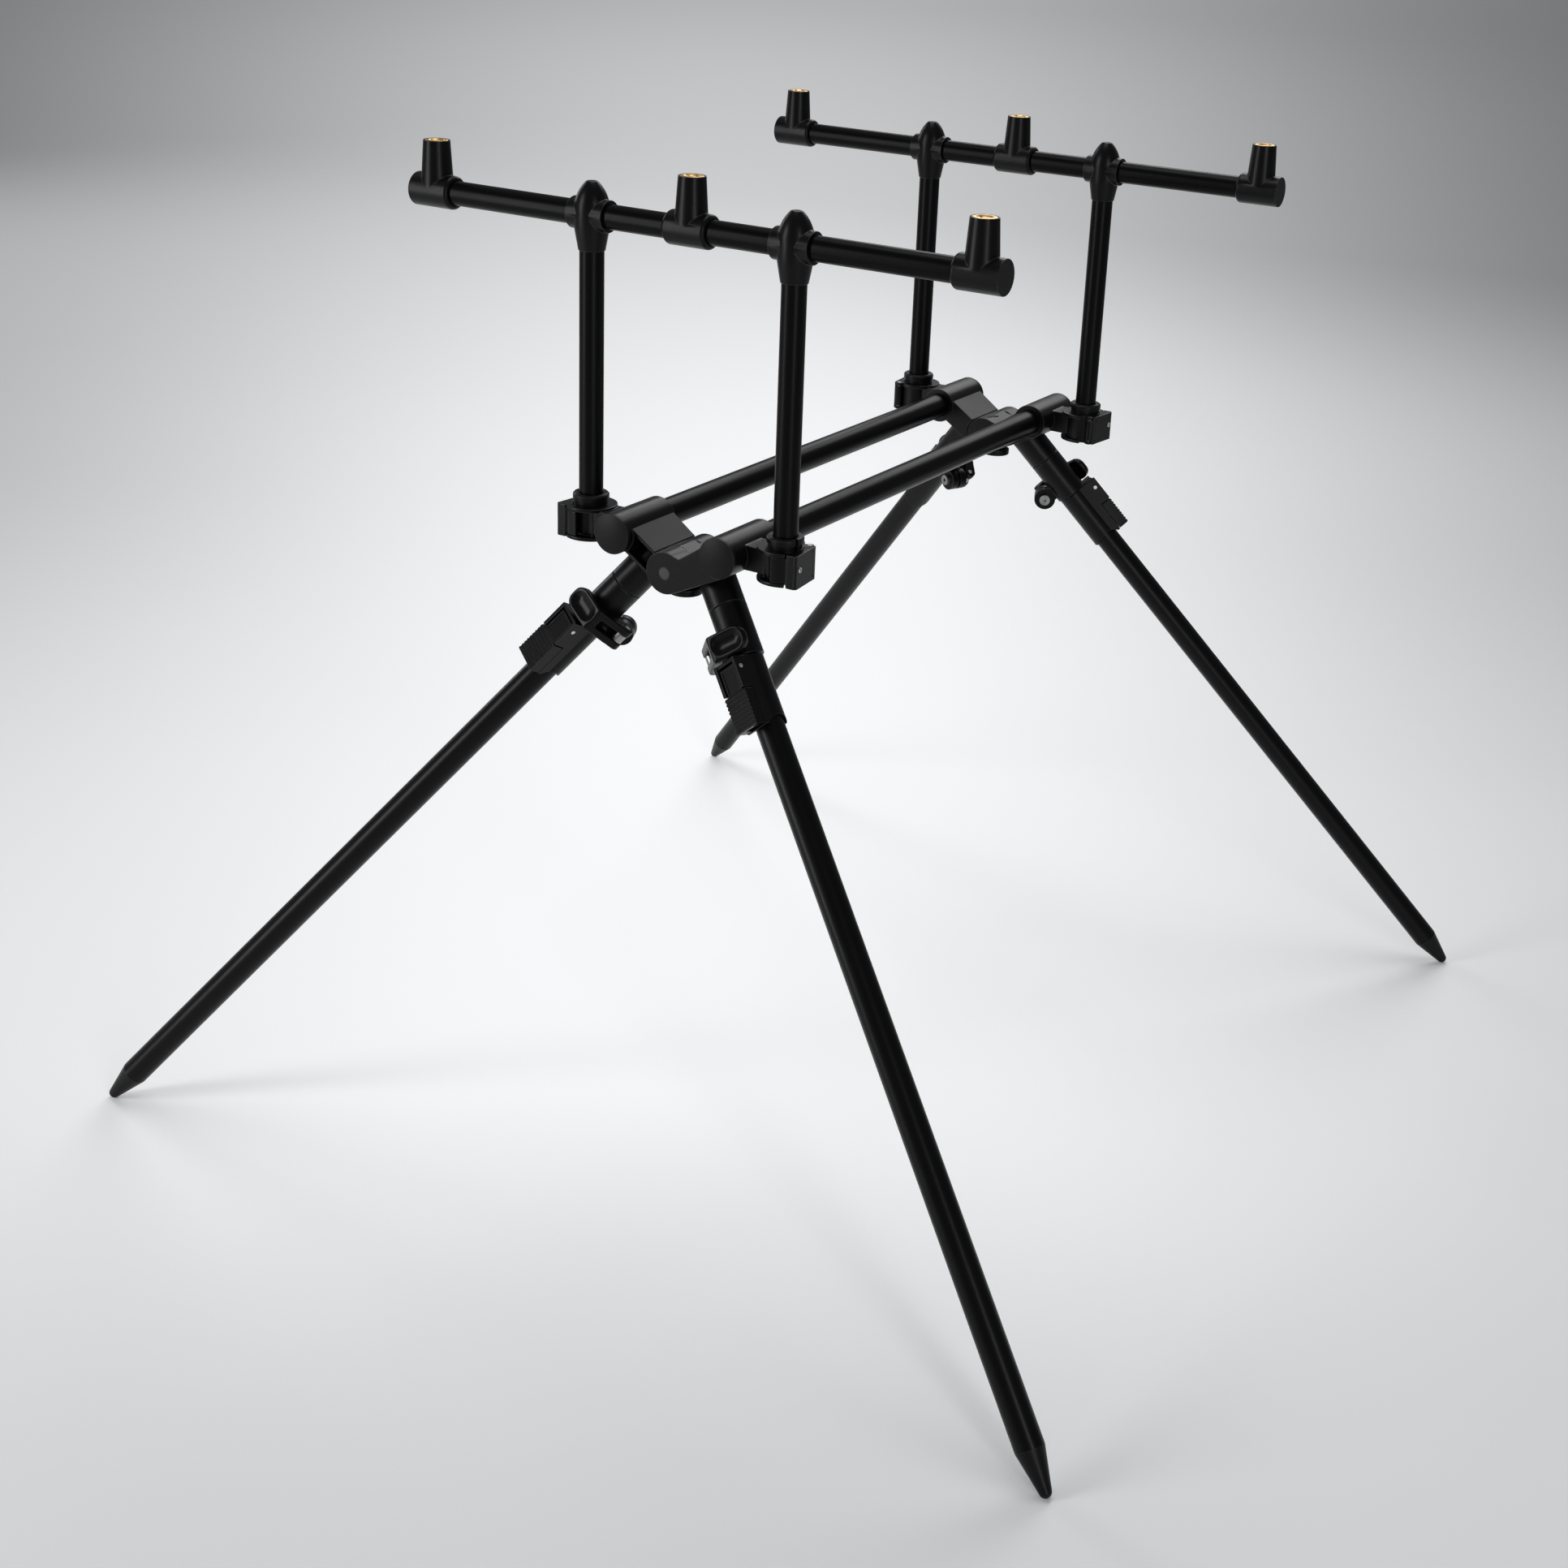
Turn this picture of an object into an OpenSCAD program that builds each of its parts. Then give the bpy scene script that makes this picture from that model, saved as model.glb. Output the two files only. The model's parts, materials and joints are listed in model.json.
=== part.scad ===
// Rod pod: two main tubes between hinged end brackets, two goal posts and four telescopic legs.
// Millimetres, +Z up, +X to the right, -Y to the front. The origin lies on the ground, under the middle.

/* [Main tubes] */
// Length over the end caps, front to back
body_len = 500; // [420:1:700]
// Distance between the axes of the two main tubes
tube_pitch = 82; // [80:1:100]
// Outside diameter of a main tube
tube_d = 19; // [16:0.5:20]
// Wall of every tube
tube_wall = 1.2; // [0.8:0.1:1.6]

/* [Brackets] */
// Wall of the barrel around a main tube
barrel_wall = 4; // [3:0.25:5]
// Length of the barrel
barrel_len = 52; // [50:1:64]
// Length of the hinged block, along the tubes
block_len = 50; // [44:1:50]
// Depth of the hinge axis below the tube axes
hinge_drop = 18.5; // [17:0.5:20]
// Diameter of the hinge knuckles
knuckle_d = 28.6; // [27:0.2:29]
// Diameter of the hinge screw
hinge_screw_d = 5; // [4:0.5:6]
// Slope of the flat panel between a barrel and the hinge
panel_slope = 34; // [32:0.5:37]
// Thickness of an end cap's rim
cap_t = 1.8; // [1.5:0.1:3]
// Rise of an end cap's dome
cap_dome = 1.2; // [0.6:0.1:2]
// Diameter of the round stop under the hinge
stop_d = 22; // [16:1:24]

/* [Goal posts] */
// Distance between the two uprights of a goal post
upright_pitch = 152; // [148:1:180]
// Distance of an upright's axis in from the end of the body
upright_set = 26.5; // [25:0.5:32]
// Height of the bar axis above the main tube axes
bar_rise = 199; // [140:1:300]
// Outside diameter of an upright
upright_d = 16; // [14:0.5:17]
// Outside diameter of a rod bar
bar_d = 16; // [14:0.5:17]
// Distance from the middle rest to an outer rest
rest_pitch = 202; // [150:1:260]
// Height of a rest post's top above the bar axis
post_h = 33; // [30:0.5:40]
// Diameter of a rest post at its top
post_top_d = 17.6; // [17:0.2:20]
// Wall of a rest barrel around the bar
rest_wall = 3; // [2.5:0.25:4]
// Length of a rest barrel
rest_len = 32; // [28:1:40]
// Diameter of a brass insert
insert_d = 15; // [13:0.2:15.5]
// Length of a brass insert
insert_len = 17; // [12:0.5:18]
// Tapping bore of a brass insert, for a 3/8 inch BSF screw
insert_bore_d = 8.3; // [8:0.1:8.6]
// Height of a cross fitting's crown above the bar axis
crown_h = 21; // [19:0.5:24]
// Length of a cross fitting's neck below the bar axis
neck_len = 22.7; // [20:0.1:28]
// Length of a cross fitting's barrel along the bar
cross_len = 28; // [24:1:34]

/* [Upright clamps] */
// Height of the clamp hub
hub_h = 22; // [20:0.5:26]
// Drop of the hub's underside below the tube axes
hub_drop = 13; // [12:0.5:16]
// Wall of the clamp hub
hub_wall = 3.45; // [3:0.05:4.5]
// Wall of the split bush in the hub
bush_wall = 2.2; // [1.6:0.1:3]
// Height of the bush above the hub
bush_rise = 7.5; // [6:0.5:10]
// Thickness of the clamp lever's plate at its thinnest
wrap_t = 4; // [3.5:0.1:4.4]
// Diameter of the clamp lever's pin
wrap_pin_d = 3; // [2.5:0.25:3]

/* [Legs] */
// Lean of a leg away from upright
leg_lean = 41.7; // [38:0.1:44]
// Turn of a leg's lean from sideways towards the end
leg_splay = 25.4; // [22:0.2:30]
// Length of a closed leg, from its root in the bracket to the middle of its foot tip
leg_len = 585; // [480:1:700]
// Outside diameter of the outer leg tube
leg_d = 19; // [17.5:0.5:20]
// Length of the conical foot
foot_len = 25; // [18:0.5:34]
// Radius of the foot's rounded tip
foot_tip_r = 4; // [3:0.5:6]
// Outside diameter of the leg socket and the clamp collar
socket_d = 25; // [24:0.5:27]
// Length of the socket below the leg root
socket_len = 17; // [15:0.5:20]
// Length of the clamp collar
collar_len = 36; // [33:0.5:40]
// Length of the lock sleeve
sleeve_len = 47; // [44:0.5:56]
// Length that a leg can be pulled out
leg_travel = 200; // [100:5:240]
// Overlap of the two leg tubes when pulled out
leg_overlap = 60; // [40:5:90]
// Turn of each lock about its leg: front left, front right, back left, back right
lock_turn = [44, 14, 45, 72]; // [0:1:90]

/* [Leg levers] */
// Distance of the clamp bolt from the leg axis
ear_x = 19.7; // [19.5:0.1:21]
// Radius of a clamp ear
ear_r = 8.5; // [7:0.25:8.5]
// Thickness of a clamp ear
ear_t = 6; // [5:0.25:7]
// Width of the collar's slit
slit_w = 2; // [1.5:0.25:3]
// Diameter of the clamp bolt
bolt_d = 5; // [4:0.5:5]
// Width of the cam lever's thumb pad
pad_w = 17; // [14:0.5:18]
// Length of the cam lever's thumb pad
pad_len = 27; // [22:0.5:29]
// Depth of the dish in the thumb pad
dish_depth = 2.4; // [1:0.1:2.6]
// Width of the flip lock
lock_w = 20.4; // [19:0.2:22]
// Distance of the flip lock's ribbed face from the leg axis
lock_reach = 20.6; // [20:0.1:22]
// Number of ribs on the flip lock's lever
rib_count = 9; // [5:1:10]
// Diameter of the flip lock's pivot pin
lock_pin_d = 3; // [2.5:0.25:3.5]

/* [Fits] */
// Gap around pieces that are glued or pressed together
fit_gap = 0.05; // [0.03:0.01:0.08]
// Gap around pins and tubes that turn in their bores
turn_gap = 0.06; // [0.04:0.01:0.09]
// Gap around tubes that slide
slide_gap = 0.3; // [0.25:0.05:0.4]
// Gap between levers and what they close on
lever_gap = 0.5; // [0.4:0.05:0.7]

/* [Hidden] */
$fn = 64;
SIDES = ["left", "right"];
ENDS = ["front", "back"];
black = "#1d1d1f";
grey = "#2b2b2d";
steel = "#c9ccd0";
brass = "#b98a45";

// Heights, stacked up from the ground
leg_z = foot_tip_r + leg_len * cos(leg_lean);
leg_drop = 25;
tube_z = leg_z + leg_drop;
bar_z = tube_z + bar_rise;
hub_z = tube_z - hub_drop;
hub_top = hub_z + hub_h;

// Places in the corner at +X and +Y; the other three corners are its mirror images
tube_x = tube_pitch / 2;
end_y = body_len / 2;
block_y = end_y - cap_t - cap_dome;
upright_x = upright_pitch / 2;
upright_y = end_y - upright_set;
leg_x = tube_x - 11.6;
leg_y = block_y - 19.7;
stop_y = block_y - block_len / 2;

// Bracket
barrel_r = tube_d / 2 + barrel_wall;
knuckle_r = knuckle_d / 2;
hinge_gap = 0.6;
lug_len = (block_len - 2 * lever_gap) / 3;
hinge_at = [0, -hinge_drop];
barrel_at = [tube_x, 0];
valley_at = hinge_at + [11, knuckle_r - 2.8];
ridge_at = hinge_at + [0, knuckle_r];
panel_up = [cos(panel_slope), sin(panel_slope)];
panel_down = [sin(panel_slope), -cos(panel_slope)];
panel_end = valley_at + (barrel_at[0] - 0.8 * barrel_r - valley_at[0]) / panel_up[0] * panel_up;
slab_from = hinge_at + (knuckle_r - 0.6) * panel_down;
slab_to = slab_from + ((barrel_at - hinge_at) * panel_up) * panel_up;
slab_set = 4;
pocket_wall = 2.2;
pocket_depth = 12;
screw_head_r = hinge_screw_d * 0.8;
screw_head_h = 3;
stop_h = 4.4;
stop_z = tube_z - hinge_drop - knuckle_r - 1 - stop_h;
arm_w = 20;
arm_low = -9;
arm_high = 7.5;

// Upright clamp, measured from the upright's axis
bush_bore_r = upright_d / 2 + slide_gap;
bush_r = bush_bore_r + bush_wall;
hub_r = bush_r + fit_gap + hub_wall;
flange_t = 2.4;
flange_r = hub_r + 3.6;
hub_floor = 3;
drain_r = upright_d / 2 - 2.5;
seat_r = bush_r + fit_gap + 1;
wrap_in = seat_r + lever_gap;
wrap_pin_turn = -50;
wrap_pin_at = (seat_r + 5) * [cos(wrap_pin_turn), sin(wrap_pin_turn)];
wrap_lug_r = wrap_pin_d / 2 + 1.4;
wrap_end = 55;
tongue_end = 90;
window_end = 128;
// Flat outer faces of the clamp lever: direction, and distance from the upright's axis
side_turn = -6;
side_d = wrap_in + wrap_t;
corner_turn = 42;
corner_d = hub_r + 8;
front_turn = 90;
front_d = hub_r + 1;
tail_d = hub_r + 5.6;

// Leg, measured down its axis from the root
inner_d = leg_d - 2 * tube_wall - 2 * slide_gap;
inner_r = inner_d / 2;
inner_root = 6;
boss_root = 14;
seam = 0.4;
collar_top = socket_len;
collar_end = collar_top + collar_len;
sleeve_gap = 1;
sleeve_top = collar_end + sleeve_gap;
sleeve_end = sleeve_top + sleeve_len;
grip_len = 16;
leg_tube_top = sleeve_top + grip_len;
leg_tube_end = leg_len - foot_len;
inner_end = leg_tube_top + leg_travel + leg_overlap;
foot_plug = 20;

// Clamp collar and cam lever, in the leg's frame: +X up and outwards, +Y towards the end of the pod
bolt_at = collar_end - 9.5;
slit_len = 26;
cam_r = 4.6;
ear_y = slit_w / 2 + ear_t;
cam_at = [-ear_x, ear_y + lever_gap + cam_r];
cam_pin_r = 1.6;
fork_h = pad_w;
fork_gap = 7;
pad_turn = 55;
pad_r = 15;
pad_t = 5;
pad_mid = pad_r + pad_t / 2;
pad_dir = [cos(pad_turn), sin(pad_turn)];
pad_along = [sin(pad_turn), -cos(pad_turn)];
pad_from = pad_mid * pad_dir - (pad_len / 2 - pad_t / 2) * pad_along;
pad_to = pad_mid * pad_dir + (pad_len / 2 - pad_t / 2) * pad_along;
dish_r = 10;

// Flip lock, in the sleeve's frame: the lever faces +Y
sleeve_r = leg_d / 2 + 1.8;
sleeve_front = sleeve_r + 0.3;
lock_wall = 2.5;
lock_pin_at = [lock_reach - 4.3, -(sleeve_top + 7)];
lock_cam_r = lock_pin_at[0] - sleeve_front - lever_gap;
lug_end = sleeve_top + 21;
lever_end = sleeve_end - 0.5;
lever_in_w = lock_w - 2 * lock_wall - 2 * lever_gap;
rib_h = 0.6;

// Helpers

// Mirrors a piece of the +X, +Y corner into the named corner
module corner(end, side) {
    mirror([side == "left" ? 1 : 0, 0, 0])
        mirror([0, end == "front" ? 1 : 0, 0])
            children();
}

module every_corner() {
    for (e = ENDS, s = SIDES) corner(e, s) children();
}

// Places a piece on the leg axis: -Z runs down the leg
module on_leg() {
    translate([leg_x, leg_y, leg_z]) rotate([0, -leg_lean, leg_splay]) children();
}

module at_upright() {
    translate([upright_x, upright_y, 0]) children();
}

// Extrudes an outline of the XZ plane, drawn from the tube axis height, along Y
module along_y(y0, y1) {
    translate([0, y1, tube_z]) rotate([90, 0, 0]) linear_extrude(y1 - y0) children();
}

module pipe(d, h, wall = tube_wall) {
    difference() {
        cylinder(d = d, h = h);
        translate([0, 0, -1]) cylinder(d = d - 2 * wall, h = h + 2);
    }
}

// Outward normal of the outer tangent of two circles
function tangent_normal(p1, r1, p2, r2, side) =
    let (reach = norm(p2 - p1), d = (p2 - p1) / reach, s = (r1 - r2) / reach)
    d * s + [d[1], -d[0]] * side * sqrt(1 - s * s);

// Two discs joined by their outer tangents
module link(p1, r1, p2, r2) {
    n1 = tangent_normal(p1, r1, p2, r2, 1);
    n2 = tangent_normal(p1, r1, p2, r2, -1);
    translate(p1) circle(r1);
    translate(p2) circle(r2);
    polygon([p1 + r1 * n1, p2 + r2 * n1, p2 + r2 * n2, p1 + r1 * n2]);
}

// Part of a ring between two angles
module ring_sector(r_in, r_out, from, to) {
    far = 2 * r_out;
    mid = (from + to) / 2;
    intersection() {
        difference() {
            circle(r_out);
            circle(r_in);
        }
        polygon([[0, 0], far * [cos(from), sin(from)], far * [cos(mid), sin(mid)], far * [cos(to), sin(to)]]);
    }
}

// Everything on the near side of a line across a direction
module within(turn, d) {
    far = 60;
    rotate(turn) translate([d - far, -far]) square([far, 2 * far]);
}

// A plate with round ends, lying along X
module stadium(len, w) {
    square([len - w, w], center = true);
    for (s = [-1, 1]) translate([s * (len - w) / 2, 0]) circle(d = w);
}

// Main tubes

module main_tube(side) {
    color(black) corner("back", side)
        translate([tube_x, block_y - 2, tube_z]) rotate([90, 0, 0]) pipe(tube_d, 2 * (block_y - 2));
}

// Bracket halves: the right half carries the outer two hinge lugs, the left half the middle one

function lug_from(i) = block_y - block_len + i * (lug_len + lever_gap);

module arm_outline() {
    n = tangent_normal(hinge_at, knuckle_r, barrel_at, barrel_r, 1);
    polygon([
        hinge_at, hinge_at + knuckle_r * n, barrel_at + barrel_r * n,
        barrel_at, panel_end, valley_at, ridge_at
    ]);
}

// The left half's arm is a slab with parallel faces
module slab_outline() {
    polygon([hinge_at, slab_from, slab_to, barrel_at, panel_end, valley_at]);
}

// Pocket in the outer end of the slab: the outline less its walls, clear of the barrel
module pocket_outline() {
    inset = pocket_wall * panel_down;
    difference() {
        polygon([
            hinge_at, slab_from - inset, slab_to - inset, barrel_at, panel_end + inset, valley_at + inset
        ]);
        translate(barrel_at) circle(barrel_r + 0.5);
    }
}

// Slab with its pocket, set back from the outer hinge lug
module slab() {
    outer_y = block_y - slab_set;
    difference() {
        along_y(block_y - block_len, outer_y) slab_outline();
        along_y(outer_y - pocket_depth, outer_y + 1) pocket_outline();
    }
}

module hinge_lug(i) {
    along_y(lug_from(i), lug_from(i) + lug_len) translate(hinge_at) circle(knuckle_r);
}

module hinge_room(i) {
    along_y(lug_from(i) - lever_gap, lug_from(i) + lug_len + lever_gap)
        translate(hinge_at) circle(knuckle_r + hinge_gap);
}

// Round wall, thinner where the clamp lever presses on it and in the window beside its tongue
module hub_outline() {
    difference() {
        circle(hub_r);
        ring_sector(seat_r, 2 * hub_r, wrap_pin_turn - 10, wrap_end + 2);
        ring_sector(seat_r, 2 * hub_r, wrap_end, window_end);
    }
}

module flange_outline() {
    difference() {
        circle(flange_r);
        ring_sector(seat_r - 0.5, 2 * flange_r, wrap_pin_turn - 25, wrap_end + 3);
    }
    link([0, 0], wrap_lug_r, wrap_pin_at, wrap_lug_r);
}

module hub() {
    at_upright() translate([0, 0, hub_z]) {
        linear_extrude(hub_h) hub_outline();
        for (z = [0, hub_h - flange_t]) translate([0, 0, z]) linear_extrude(flange_t) flange_outline();
    }
    translate([tube_x, upright_y - arm_w / 2, tube_z + arm_low])
        cube([upright_x - tube_x, arm_w, arm_high - arm_low]);
}

module hub_bore() {
    at_upright() {
        translate([0, 0, hub_z + hub_floor]) cylinder(r = bush_r + fit_gap, h = hub_h);
        translate([0, 0, hub_z - 1]) cylinder(r = drain_r, h = hub_h);
        translate([wrap_pin_at[0], wrap_pin_at[1], hub_z - 1])
            cylinder(d = wrap_pin_d + 2 * fit_gap, h = hub_h + 2);
        rotate([0, 0, 20]) translate([bush_bore_r, -slit_w / 2, hub_z + hub_floor])
            cube([2 * hub_wall + bush_wall, slit_w, hub_h]);
    }
}

module leg_socket() {
    on_leg() translate([0, 0, -socket_len]) {
        translate([0, 0, seam]) cylinder(d = socket_d, h = socket_len + boss_root - seam);
        cylinder(d1 = socket_d - 2 * seam, d2 = socket_d, h = seam);
    }
}

module leg_socket_bore() {
    on_leg() translate([0, 0, -socket_len - 1])
        cylinder(r = inner_r + turn_gap, h = socket_len + 1 + inner_root + lever_gap);
}

module hinge_stop() {
    translate([0, stop_y, stop_z]) cylinder(d = stop_d, h = stop_h);
    translate([-stop_d / 4, lug_from(1), stop_z + 1]) cube([stop_d / 2, lug_len, stop_h + knuckle_r / 2]);
}

module bracket(end, side) {
    own = side == "right" ? [0, 2] : [1];
    other = side == "right" ? [1] : [0, 2];
    color(grey) corner(end, side) difference() {
        union() {
            difference() {
                union() {
                    if (side == "right") along_y(block_y - block_len, block_y) arm_outline();
                    else slab();
                    leg_socket();
                }
                for (i = other) hinge_room(i);
                along_y(block_y - block_len - 1, block_y + 1)
                    translate([-2 * knuckle_r, -hinge_drop - 2 * knuckle_r])
                        square([2 * knuckle_r, 4 * knuckle_r]);
            }
            for (i = own) hinge_lug(i);
            along_y(block_y - barrel_len, block_y) translate(barrel_at) circle(barrel_r);
            hub();
            if (side == "left") hinge_stop();
        }
        along_y(block_y - barrel_len - 1, block_y + 1)
            translate(barrel_at) circle(d = tube_d + 2 * fit_gap);
        along_y(block_y - block_len - 1, block_y + 1)
            translate(hinge_at) circle(d = hinge_screw_d + 2 * fit_gap);
        along_y(block_y - screw_head_h, block_y + 1)
            translate(hinge_at) circle(screw_head_r + fit_gap);
        leg_socket_bore();
        hub_bore();
    }
}

module hinge_screw() {
    nut_h = 4;
    inner_y = block_y - block_len;
    along_y(inner_y - nut_h, block_y) translate(hinge_at) circle(d = hinge_screw_d);
    along_y(inner_y - nut_h, inner_y) translate(hinge_at) circle(hinge_screw_d * 0.9, $fn = 6);
    difference() {
        along_y(block_y - screw_head_h, block_y) translate(hinge_at) circle(screw_head_r);
        along_y(block_y - screw_head_h * 0.7, block_y + 1)
            translate(hinge_at) circle(d = hinge_screw_d * 0.6, $fn = 6);
    }
}

module hinge_screws() {
    color(steel) for (e = ENDS) corner(e, "right") hinge_screw();
}

// Domed disc with a plug that sits in the main tube
module end_cap() {
    dome_r = (barrel_r * barrel_r + cap_dome * cap_dome) / (2 * cap_dome);
    plug_len = 9;
    translate([tube_x, block_y, tube_z]) rotate([-90, 0, 0]) {
        cylinder(r = barrel_r, h = cap_t);
        translate([0, 0, cap_t]) intersection() {
            translate([0, 0, cap_dome - dome_r]) sphere(dome_r);
            cylinder(r = barrel_r, h = 2 * cap_dome);
        }
        translate([0, 0, -plug_len]) cylinder(d = tube_d - 2 * tube_wall - 2 * fit_gap, h = plug_len);
    }
}

module end_caps() {
    color(black) every_corner() end_cap();
}

// Upright clamps

module bush() {
    lip = 1;
    lip_h = 4;
    neck_r = bush_r + 0.6;
    rise = hub_h - hub_floor;
    at_upright() translate([0, 0, hub_z + hub_floor]) difference() {
        union() {
            cylinder(r = bush_r, h = rise);
            translate([0, 0, rise]) cylinder(r = neck_r, h = bush_rise - lip_h / 2);
            translate([0, 0, rise + bush_rise - lip_h]) cylinder(r = neck_r + lip, h = lip_h - lip);
            translate([0, 0, rise + bush_rise - lip]) cylinder(r1 = neck_r + lip, r2 = neck_r, h = lip);
        }
        translate([0, 0, -1]) cylinder(r = bush_bore_r, h = rise + bush_rise + 2);
        rotate([0, 0, 20]) translate([0, -slit_w / 2, -1]) cube([2 * bush_r, slit_w, rise + bush_rise + 2]);
    }
}

module upright_bushes() {
    color(grey) every_corner() bush();
}

// Plate with a flat side and a flat front round the hub
module clamp_plate() {
    intersection() {
        ring_sector(wrap_in, 2 * flange_r, wrap_pin_turn, wrap_end);
        within(side_turn, side_d);
        within(corner_turn, corner_d);
        within(front_turn, front_d);
        within(wrap_pin_turn, tail_d);
    }
}

// Lever that wraps round the hub; its tongue lies between the hub's flanges
module clamp_lever(end, side) {
    inner_z = hub_z + flange_t + lever_gap;
    inner_h = hub_h - 2 * flange_t - 2 * lever_gap;
    knuckle_to = wrap_pin_at + 4 * [cos(wrap_pin_turn + 90), sin(wrap_pin_turn + 90)];
    color(black) corner(end, side) at_upright() difference() {
        union() {
            translate([0, 0, inner_z]) linear_extrude(inner_h) {
                clamp_plate();
                ring_sector(hub_r + lever_gap, flange_r - 0.4, wrap_end - 1, tongue_end);
                link(wrap_pin_at, wrap_lug_r, knuckle_to, wrap_pin_d / 2);
            }
            translate([0, 0, hub_z]) linear_extrude(hub_h) difference() {
                clamp_plate();
                link([0, 0], wrap_lug_r + lever_gap, wrap_pin_at, wrap_lug_r + lever_gap);
            }
        }
        translate([wrap_pin_at[0], wrap_pin_at[1], hub_z - 1])
            cylinder(d = wrap_pin_d + 2 * turn_gap, h = hub_h + 2);
    }
}

module clamp_lever_pin() {
    at_upright() translate([wrap_pin_at[0], wrap_pin_at[1], hub_z]) cylinder(d = wrap_pin_d, h = hub_h);
}

module lever_pins() {
    color(steel) every_corner() {
        clamp_lever_pin();
        on_leg() translate([cam_at[0], cam_at[1], -bolt_at - fork_h / 2])
            cylinder(r = cam_pin_r, h = fork_h);
    }
}

// Goal posts

module rod_bar(end) {
    reach = rest_pitch + rest_len / 2 - 3;
    color(black) corner(end, "right")
        translate([-reach, upright_y, bar_z]) rotate([0, 90, 0]) pipe(bar_d, 2 * reach);
}

// Barrel round the bar, from z = 0 to len, with a rounded shoulder at its start
module rest_barrel(len, shoulder) {
    r = bar_d / 2 + rest_wall;
    rotate_extrude() {
        translate([0, shoulder]) square([r, len - shoulder]);
        square([r - shoulder, len]);
        intersection() {
            translate([r - shoulder, shoulder]) circle(shoulder);
            square([r, len]);
        }
    }
}

// Rod rest: barrel along X and an upright cone; an end rest is closed at +X
module rest_body(closed) {
    shoulder = rest_wall - 0.5;
    half = rest_len / 2;
    bore_end = closed ? half - 3 : half + 1;
    difference() {
        union() {
            translate([-half, 0, 0]) rotate([0, 90, 0]) rest_barrel(half, shoulder);
            mirror([closed ? 0 : 1, 0, 0]) translate([closed ? 0 : -half, 0, 0]) rotate([0, 90, 0])
                rest_barrel(half, closed ? 0.01 : shoulder);
            cylinder(d1 = bar_d + 2 * rest_wall - 0.2, d2 = post_top_d, h = post_h);
        }
        translate([-half - 1, 0, 0]) rotate([0, 90, 0])
            cylinder(d = bar_d + 2 * fit_gap, h = bore_end + half + 1);
        translate([0, 0, post_h - insert_len]) cylinder(d = insert_d + 2 * fit_gap, h = insert_len + 1);
    }
}

module at_rest(end, place) {
    x = place == "centre" ? 0 : rest_pitch;
    corner(end, place == "left" ? "left" : "right") translate([x, upright_y, bar_z]) children();
}

module rest_tee(end, place) {
    color(grey) at_rest(end, place) rest_body(place != "centre");
}

module brass_inserts(end) {
    wall = (insert_d - insert_bore_d) / 2;
    color(brass) for (place = ["left", "centre", "right"]) at_rest(end, place)
        translate([0, 0, post_h - insert_len]) pipe(insert_d, insert_len, wall);
}

// Spindle over the end of an upright, with a barrel for the bar
module cross_fitting() {
    belly_r = bar_d / 2 + 3.4;
    belly_h = 3;
    neck_r = upright_d / 2 + 0.7;
    taper = neck_len - 8;
    crown_r = 3.5;
    crown_rise = crown_h - belly_h;
    arc_x = (crown_rise * crown_rise + crown_r * crown_r - belly_r * belly_r) / (2 * (crown_r - belly_r));
    arc_r = belly_r - arc_x;
    barrel_d2 = bar_d + 4.6;
    translate([upright_x, upright_y, bar_z]) difference() {
        union() {
            translate([0, 0, -neck_len]) cylinder(r1 = neck_r, r2 = belly_r, h = taper);
            translate([0, 0, taper - neck_len]) cylinder(r = belly_r, h = neck_len - taper + belly_h);
            translate([0, 0, belly_h]) rotate_extrude() intersection() {
                translate([arc_x, 0]) circle(arc_r);
                square([belly_r, crown_rise]);
            }
            translate([-cross_len / 2, 0, 0]) rotate([0, 90, 0]) cylinder(d = barrel_d2, h = cross_len);
        }
        translate([-cross_len, 0, 0]) rotate([0, 90, 0])
            cylinder(d = bar_d + 2 * fit_gap, h = 2 * cross_len);
        translate([0, 0, -neck_len - 1]) cylinder(d = upright_d + 2 * fit_gap, h = neck_len + 1);
    }
}

module cross_fittings(end) {
    color(grey) for (s = SIDES) corner(end, s) cross_fitting();
}

module upright(end, side) {
    foot = hub_z + hub_floor + slide_gap;
    top = bar_z - bar_d / 2 - 1;
    color(black) corner(end, side) at_upright() translate([0, 0, foot]) pipe(upright_d, top - foot);
}

// Legs

// Split collar under the socket, with two ears for the clamp bolt
module leg_collar(end, side) {
    ear_h = 11;
    color(grey) corner(end, side) on_leg() difference() {
        union() {
            translate([0, 0, -collar_end]) cylinder(d = socket_d, h = collar_len - seam);
            translate([0, 0, -collar_top - seam]) cylinder(d1 = socket_d, d2 = socket_d - 2 * seam, h = seam);
            for (y = [-ear_y, slit_w / 2])
                translate([-ear_x, y + ear_t, -bolt_at]) rotate([90, 0, 0]) linear_extrude(ear_t) {
                    circle(ear_r);
                    translate([0, -ear_h / 2]) square([ear_x - inner_r - 1, ear_h]);
                }
        }
        translate([0, 0, -collar_end - 1]) cylinder(r = inner_r + turn_gap, h = collar_len + 2);
        translate([-socket_d, -slit_w / 2, -collar_end - 1]) cube([socket_d, slit_w, slit_len + 1]);
        translate([-ear_x, -2 * ear_y, -bolt_at]) rotate([-90, 0, 0])
            cylinder(d = bolt_d + 2 * fit_gap, h = 4 * ear_y);
    }
}

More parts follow.
